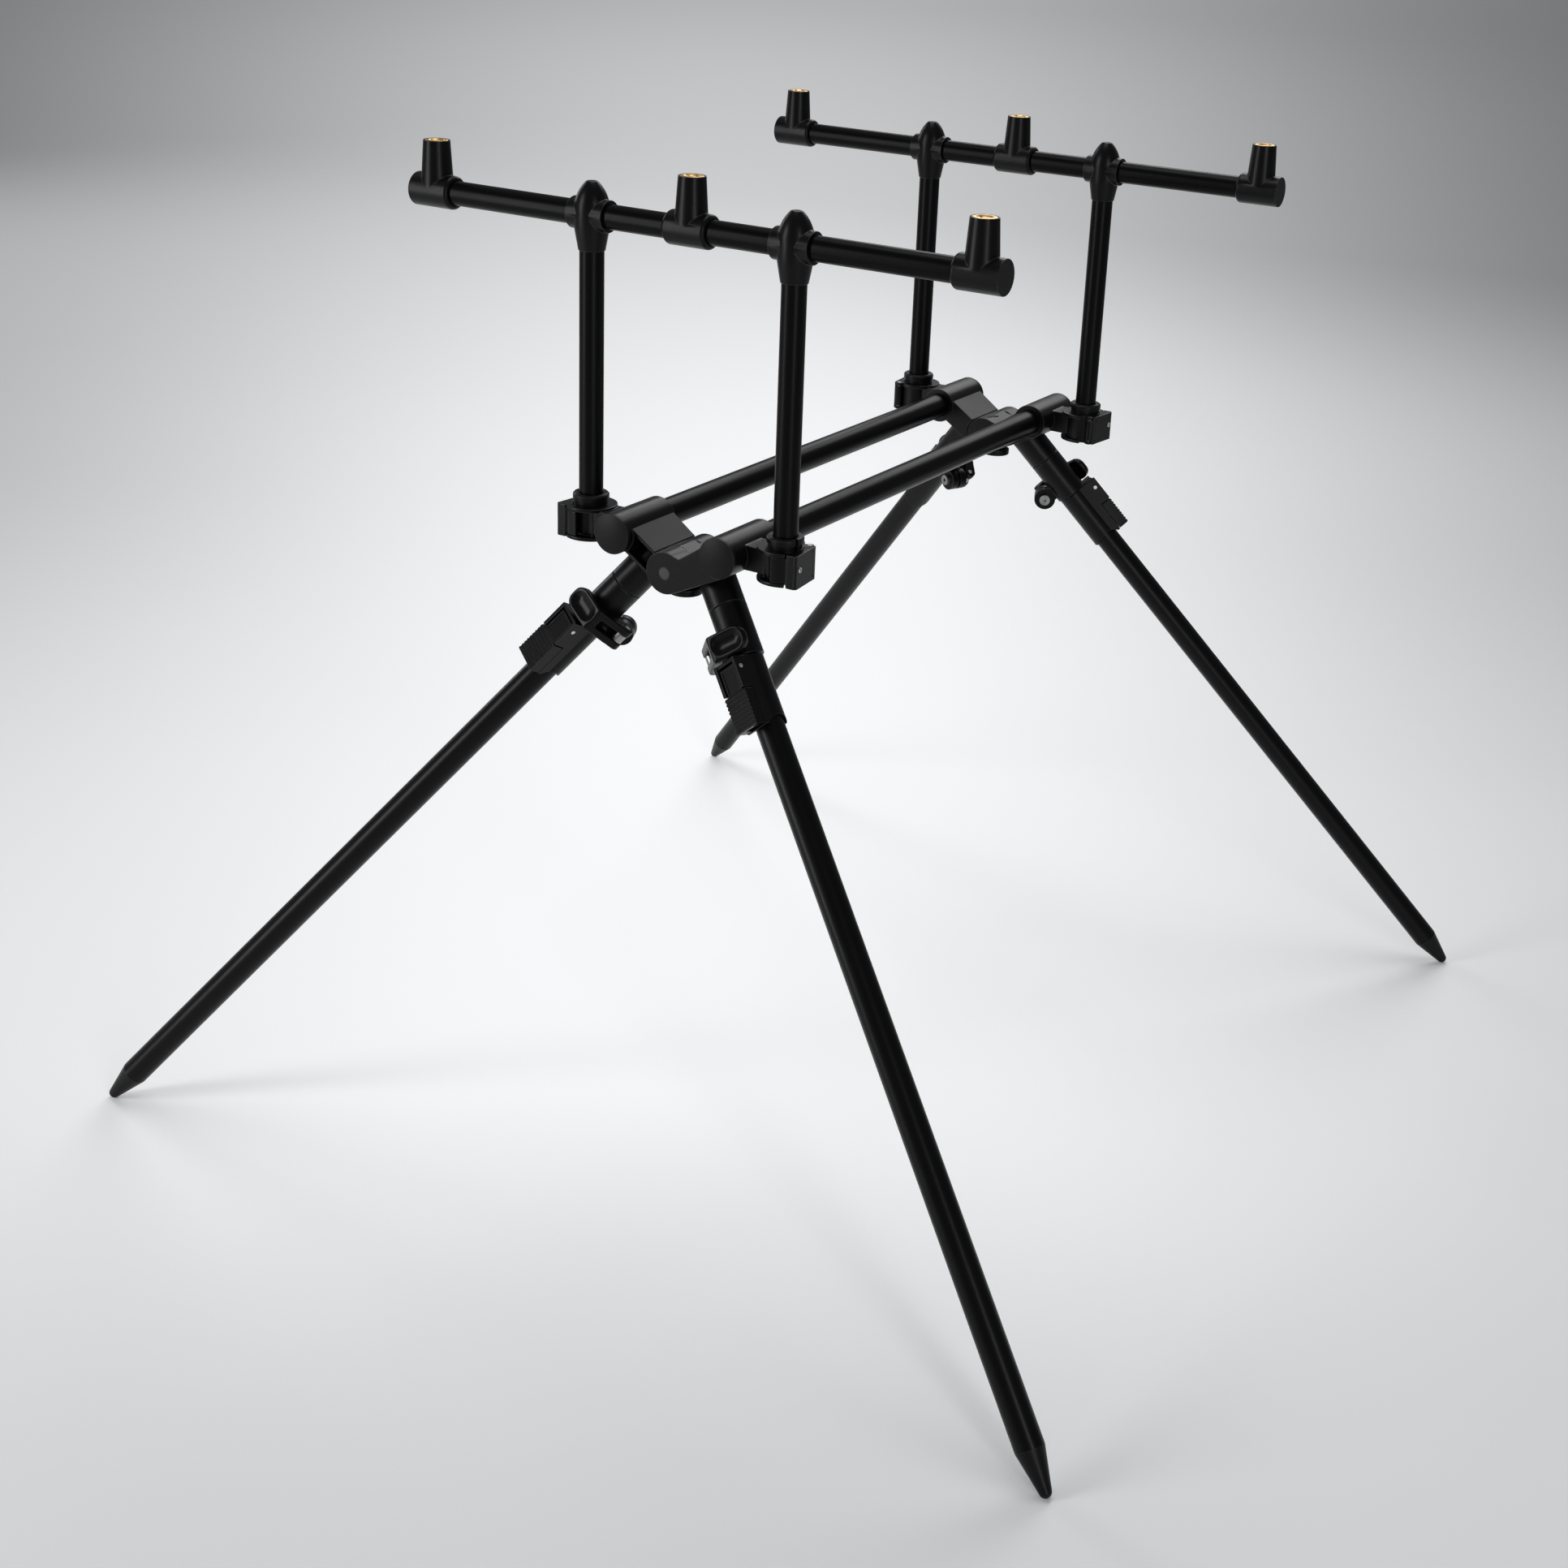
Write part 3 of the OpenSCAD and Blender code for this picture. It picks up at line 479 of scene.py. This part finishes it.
def lock_place(corner):
    """Turn and place of a flip lock; it is alike on both sides, so a mirrored X is turned back."""
    root = on_lock(Vector((0, 0, 0)), corner)
    x, y, z = (on_lock(Vector(a), corner) - root for a in ((1, 0, 0), (0, 1, 0), (0, 0, 1)))
    if x.cross(y).dot(z) < 0:
        x = -x
    return Matrix.Translation(root * MM) @ Matrix((x, y, z)).transposed().to_4x4()


def shape_lock_lever(piece, corner):
    """Trims the lever's hub level with its face and sinks a plain panel above the ribs."""
    carve(piece, block(lock_place(corner), *LOCK_HUB_TRIM))
    carve(piece, block(lock_place(corner), *LOCK_PANEL_RECESS))


def shape_lock_sleeve(piece, corner):
    """Closes the lugs with a wall at the top and cuts an arch into both sides at the bottom."""
    carve(piece, block(lock_place(corner), *LOCK_TOP_WALL), "UNION")
    deselect()
    bpy.ops.mesh.primitive_cylinder_add(vertices=96, radius=LOCK_ARCH_R * MM, depth=60 * MM)
    arch = bpy.context.object
    low_end = Matrix.Translation(Vector((0, 0, LOCK_ARCH_Z)) * MM)
    across = low_end @ Matrix.Rotation(math.pi / 2, 4, "Y")
    arch.matrix_world = lock_place(corner) @ across
    carve(piece, arch)


# Castings and levers with rounded edges

EDGE_ROUND = {
    "bracket": 0.52, "clamp_lever": 0.45, "leg_collar": 0.5,
    "lock_sleeve": 0.28, "lock_lever": 0.2, "foot": 0.35, "end_caps": 0.35,
    "rest_tee": 0.4, "cross_fittings": 0.4, "upright_bushes": 0.25,
}
SHAPED = {
    "bracket": shape_bracket, "lock_lever": shape_lock_lever, "lock_sleeve": shape_lock_sleeve,
}


def merged_copy(node):
    """A free copy of a solid, with its triangles joined into whole faces."""
    source = frame["nodes"][node]
    deselect()
    piece = source.copy()
    piece.data = source.data.copy()
    piece.parent = None
    for key in list(piece.keys()):
        del piece[key]
    bpy.context.scene.collection.objects.link(piece)
    join_faces(piece)
    return piece


def clear_slivers(piece):
    """Draws the shortest edges together, so that roundings meet cleanly at the corners."""
    open_whole(piece)
    bpy.ops.mesh.remove_doubles(threshold=SLIVER * MM)
    bpy.ops.mesh.dissolve_degenerate(threshold=SLIVER * MM)
    bpy.ops.mesh.dissolve_limited(angle_limit=math.radians(1))
    bpy.ops.mesh.delete_loose()
    bpy.ops.mesh.select_all(action="SELECT")
    bpy.ops.mesh.fill_holes(sides=4)
    bpy.ops.object.mode_set(mode="OBJECT")


def rounded(node, kind, radius):
    """A copy of a solid with its sharp edges rounded and given the edge finish, paler as a painted
    highlight and rubbed in patches, in place of the solid.
    """
    piece = merged_copy(node)
    if kind in SHAPED:
        SHAPED[kind](piece, tuple(node.removeprefix(kind + "_").split("_")))
    clear_slivers(piece)
    # The rounding faces take the edge finish: a painted highlight along every edge, with rubbed
    # wear in patches.
    coat(piece, finish_of(node), EDGE_WEAR_AND_HIGHLIGHT[finish_of(node).name])
    apply_modifier(
        piece, "BEVEL", width=radius * MM, segments=2, limit_method="ANGLE", material=1,
        angle_limit=ROUND_ABOVE, miter_outer="MITER_ARC", use_clamp_overlap=False,
    )
    smooth(piece, SHADE_BELOW_DEGREES)
    apply_modifier(piece, "WEIGHTED_NORMAL", mode="FACE_AREA", weight=50, keep_sharp=True)
    settle(piece, node + "_rounded", BODY[node])
    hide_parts(node)


for node_name in sorted(frame["nodes"]):
    for kind, radius in EDGE_ROUND.items():
        if node_name.startswith(kind):
            rounded(node_name, kind, radius)


# Cam levers: soft moulded forms

def softened(node):
    """A cam lever with its corners drawn into soft moulded curves, in place of the solid."""
    piece = merged_copy(node)
    apply_modifier(piece, "REMESH", mode="VOXEL", voxel_size=CAM_VOXEL * MM)
    apply_modifier(piece, "SMOOTH", factor=0.5, iterations=22)
    apply_modifier(piece, "DISPLACE", strength=CAM_SWELL * MM, mid_level=0)
    coat(piece, finish_of(node))
    smooth(piece, 180)
    settle(piece, node + "_soft", BODY[node])
    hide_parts(node)


for end_name, side_name in CORNERS:
    softened(f"cam_lever_{end_name}_{side_name}")


# Brass inserts with a screw thread

def top_ring(radius):
    """Test for the edges of a ring around the top of a piece."""
    return lambda at: abs(at.z) < 0.01 * MM and abs(at.xy.length - radius * MM) < 0.1 * MM


def insert_sleeve():
    """Rimmed sleeve, its top at the origin."""
    deselect()
    bpy.ops.mesh.primitive_cylinder_add(
        vertices=48, radius=INSERT_R * MM, depth=INSERT_LEN * MM,
        location=(0, 0, -INSERT_LEN / 2 * MM),
    )
    sleeve = bpy.context.object
    bpy.ops.object.transform_apply(location=True, rotation=True, scale=True)
    choose(sleeve, "FACE", lambda at: at.xy.length < MM)
    bpy.ops.mesh.inset(thickness=(INSERT_R - THREAD_ROOT_R) * MM)
    bpy.ops.mesh.bridge_edge_loops()
    choose(sleeve, "EDGE", top_ring(INSERT_R))
    bpy.ops.mesh.bevel(offset=0.35 * MM, segments=3, affect="EDGES")
    choose(sleeve, "EDGE", top_ring(THREAD_ROOT_R))
    bpy.ops.mesh.bevel(offset=0.55 * MM, segments=1, affect="EDGES")
    bpy.ops.object.mode_set(mode="OBJECT")
    return sleeve


def insert_thread():
    """Helical ridge inside the bore, with its crest towards the axis."""
    ridge = (THREAD_ROOT_R - THREAD_CREST_R + 0.05) / 1.5
    thread_foot = -(THREAD_TOP + THREAD_TURNS * THREAD_PITCH)
    deselect()
    bpy.ops.mesh.primitive_circle_add(
        vertices=3, radius=ridge * MM, rotation=(math.pi / 2, -math.pi / 2, 0),
        location=((THREAD_CREST_R + ridge) * MM, 0, thread_foot * MM),
    )
    thread = bpy.context.object
    bpy.ops.object.transform_apply(location=True, rotation=True, scale=True)
    apply_modifier(
        thread, "SCREW", axis="Z", angle=2 * math.pi, screw_offset=THREAD_PITCH * MM,
        iterations=THREAD_TURNS, steps=28, render_steps=28,
    )
    open_whole(thread)
    bpy.ops.mesh.fill_holes(sides=3)
    bpy.ops.mesh.select_all(action="SELECT")
    bpy.ops.mesh.normals_make_consistent(inside=False)
    bpy.ops.object.mode_set(mode="OBJECT")
    return thread


def brass_inserts():
    sleeve, thread = insert_sleeve(), insert_thread()
    pick(sleeve)
    thread.select_set(True)
    bpy.ops.object.join()
    coat(sleeve, FINISH["brass"])
    smooth(sleeve, 35)
    for end in ENDS:
        low, high = (Vector(p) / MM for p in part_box("brass_inserts_" + end))
        for place, x in REST_X.items():
            piece = copy_at(sleeve, Vector((x, (low.y + high.y) / 2, high.z)), Vector((0, 0, 1)))
            settle(piece, f"threaded_insert_{end}_{place}", end + "_goal_post")
            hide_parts("brass_inserts_" + end)
    discard(sleeve)


# Pin ends and small screws

def pin_end():
    """Peened end of a pin: rounded rim and a centre dimple."""
    deselect()
    bpy.ops.mesh.primitive_cylinder_add(vertices=28, radius=LOCK_PIN_R * MM, depth=0.7 * MM)
    pin = bpy.context.object
    choose(pin, "FACE", lambda at: at.z > 0.3 * MM)
    bpy.ops.mesh.bevel(offset=0.22 * MM, segments=3, affect="EDGES")
    choose(pin, "FACE", lambda at: at.z > 0.345 * MM)
    bpy.ops.mesh.inset(thickness=0.5 * MM)
    bpy.ops.mesh.inset(thickness=0.3 * MM, depth=-0.16 * MM)
    bpy.ops.object.mode_set(mode="OBJECT")
    coat(pin, FINISH["steel"])
    smooth(pin, 40)
    return pin


def lock_pin_ends():
    master = pin_end()
    for corner in CORNERS:
        name = "_".join(corner)
        for mark, reach in (("a", LOCK_HALF_WIDTH), ("b", -LOCK_HALF_WIDTH)):
            at = on_lock(LOCK_PIN_AT + Vector((reach, 0, 0)), corner)
            facing = on_lock(LOCK_PIN_AT + Vector((2 * reach, 0, 0)), corner) - at
            piece = copy_at(master, at, facing)
            settle(piece, f"lock_pin_end_{name}_{mark}", "lower_leg_" + name)
    discard(master)


def cap_screw():
    """Low screw head with a six-sided socket."""
    top = (0, 0, SCREW_TOP * MM)
    deselect()
    bpy.ops.mesh.primitive_circle_add(vertices=24, radius=SCREW_HEAD_R * MM, location=top)
    head = bpy.context.object
    bpy.ops.mesh.primitive_circle_add(vertices=6, radius=SCREW_SOCKET_R * MM, location=top)
    socket = bpy.context.object
    pick(head)
    socket.select_set(True)
    bpy.ops.object.join()
    bpy.ops.object.transform_apply(location=True, rotation=True, scale=True)

    def outside(at):
        return at.xy.length > (SCREW_HEAD_R - 0.1) * MM

    def on_top(at):
        return at.z > (SCREW_TOP - 0.05) * MM

    choose(head, "EDGE", lambda at: True)
    bpy.ops.mesh.bridge_edge_loops()
    choose(head, "EDGE", outside)
    bpy.ops.mesh.extrude_edges_move(TRANSFORM_OT_translate={"value": (0, 0, -SCREW_HEAD_H * MM)})
    choose(head, "EDGE", lambda at: at.xy.length < (SCREW_SOCKET_R - 0.05) * MM and on_top(at))
    bpy.ops.mesh.extrude_edges_move(
        TRANSFORM_OT_translate={"value": (0, 0, -SCREW_SOCKET_DEEP * MM)}
    )
    bpy.ops.mesh.edge_face_add()
    low = SCREW_TOP - SCREW_HEAD_H + 0.05
    choose(head, "EDGE", lambda at: outside(at) and at.z < low * MM)
    bpy.ops.mesh.edge_face_add()
    bpy.ops.mesh.select_all(action="SELECT")
    bpy.ops.mesh.normals_make_consistent(inside=False)
    choose(head, "EDGE", lambda at: outside(at) and on_top(at))
    bpy.ops.mesh.bevel(offset=0.4 * MM, segments=4, affect="EDGES")
    bpy.ops.object.mode_set(mode="OBJECT")
    coat(head, FINISH["steel"])
    smooth(head, 40)
    return head


def lever_screws():
    master = cap_screw()
    for corner in CORNERS:
        name = "_".join(corner)
        at = mirrored(UPRIGHT_AT + LEVER_SCREW_AT, corner)
        piece = copy_at(master, at, mirrored(LEVER_SCREW_FACING, corner))
        settle(piece, "clamp_lever_screw_" + name, "clamp_" + name)
    discard(master)


brass_inserts()
lock_pin_ends()
lever_screws()


# Studio

def floor_finish():
    """Pale floor with a painted pool of light, away from the camera, that fades to its sides: an
    emitted glow that camera and glossy rays see, and painted shade that darkens the floor's colour
    outside the pool and further away.
    """
    finish = Finish("pale_floor")
    patch = finish.noise(0.8, 2)
    x = finish.node("ShaderNodeSeparateXYZ", None, {0: finish.place}, output=0)
    y = finish.node("ShaderNodeSeparateXYZ", None, {0: finish.place}, output=1)
    away = VIEW_Y * y + VIEW_X * x
    across = (VIEW_Y * x - VIEW_X * y) / (away + 2.0) + 0.06
    pool = math.exp(1) ** (-13 * across * across)
    # Painted shade: the floor's colour darkens away from the camera and outside the pool.
    shade = 0.5 * finish.band(away, 0.0, 1.5) * (1 - pool)
    pale = finish.blend(patch, (0.86, 0.87, 0.88, 1), (0.90, 0.905, 0.91, 1))
    seen = finish.node("ShaderNodeLightPath", output="Is Camera Ray")
    mirrored_ray = finish.node("ShaderNodeLightPath", output="Is Glossy Ray")
    # Painted light: the pool glows for camera and glossy rays, though the floor is no lamp.
    reach = 0.29 * finish.band(away, -0.62, -0.1) + 0.10 * finish.band(away, 2.0, 4.0)
    glow = (reach - 0.12 * finish.band(away, 5.0, 12.0)) * pool * (seen + mirrored_ray)
    return finish.surface(
        Base_Color=finish.blend(shade, pale, (0.20, 0.205, 0.21, 1)),
        Roughness=0.62 + 0.05 * patch,
        Emission_Color=finish.blend(glow, (0, 0, 0, 1), (1, 1, 1, 1)),
        Emission_Strength=1.0,
    )


def studio_floor():
    deselect()
    bpy.ops.mesh.primitive_circle_add(vertices=96, radius=40, fill_type="NGON")
    floor = bpy.context.object
    floor.name = "studio_floor"
    floor.data.materials.append(floor_finish())


def softbox(name, at, aim, size, watts):
    deselect()
    bpy.ops.object.light_add(type="AREA", location=at)
    lamp = bpy.context.object
    lamp.name = name
    lamp.rotation_euler = (Vector(aim) - Vector(at)).to_track_quat("-Z", "Y").to_euler()
    lamp.data.shape = "RECTANGLE"
    lamp.data.size, lamp.data.size_y = size
    lamp.data.energy = watts


def studio_world():
    world = bpy.data.worlds.new("studio")
    bpy.context.scene.world = world
    world.use_nodes = True
    tree = world.node_tree
    tree.nodes.clear()
    light = tree.nodes.new("ShaderNodeBackground")
    light.inputs["Color"].default_value = (0.95, 0.97, 1.0, 1)
    light.inputs["Strength"].default_value = 0.20
    out = tree.nodes.new("ShaderNodeOutputWorld")
    tree.links.new(light.outputs[0], out.inputs[0])


def studio_camera():
    azimuth, elevation, roll = CAMERA_AZIMUTH, CAMERA_ELEVATION, CAMERA_ROLL
    back = Vector((
        math.sin(azimuth) * math.cos(elevation),
        -math.cos(azimuth) * math.cos(elevation),
        math.sin(elevation),
    ))
    level = Vector((math.cos(azimuth), math.sin(azimuth), 0))
    rise = back.cross(level)
    right = level * math.cos(roll) + rise * math.sin(roll)
    up = rise * math.cos(roll) - level * math.sin(roll)
    target = Vector((0, 0, CAMERA_TARGET_Z))
    target += level * CAMERA_TARGET_RIGHT + rise * CAMERA_TARGET_UP
    deselect()
    bpy.ops.object.camera_add()
    camera = bpy.context.object
    turn = Matrix((right, up, back)).transposed().to_4x4()
    camera.matrix_world = Matrix.Translation(target + back * CAMERA_DISTANCE) @ turn
    camera.data.sensor_width = 36
    camera.data.lens = 50.828
    camera.data.shift_x = -0.05998
    camera.data.shift_y = -0.08226
    camera.data.clip_end = 200
    bpy.context.scene.camera = camera


studio_floor()
studio_world()
# Soft lamps: place, aim, size and watts
softbox("back_softbox", (-0.5, 2.4, 2.1), (0, 0, 0.45), (1.9, 1.1), 26)
softbox("overhead_softbox", (-0.2, 0.2, 2.3), (0, 0.1, 0.3), (1.0, 1.0), 11)
softbox("left_strip", (-1.5, -2.0, 0.95), (0, 0, 0.45), (0.5, 1.8), 25)
softbox("right_strip", (2.0, -1.65, 0.9), (0, 0, 0.45), (0.35, 1.7), 15)
softbox("left_rim", (-4.0, 1.1, 1.7), (0, 0, 0.45), (0.8, 2.4), 22)
studio_camera()
bpy.context.scene.view_settings.view_transform = "Standard"

deselect()
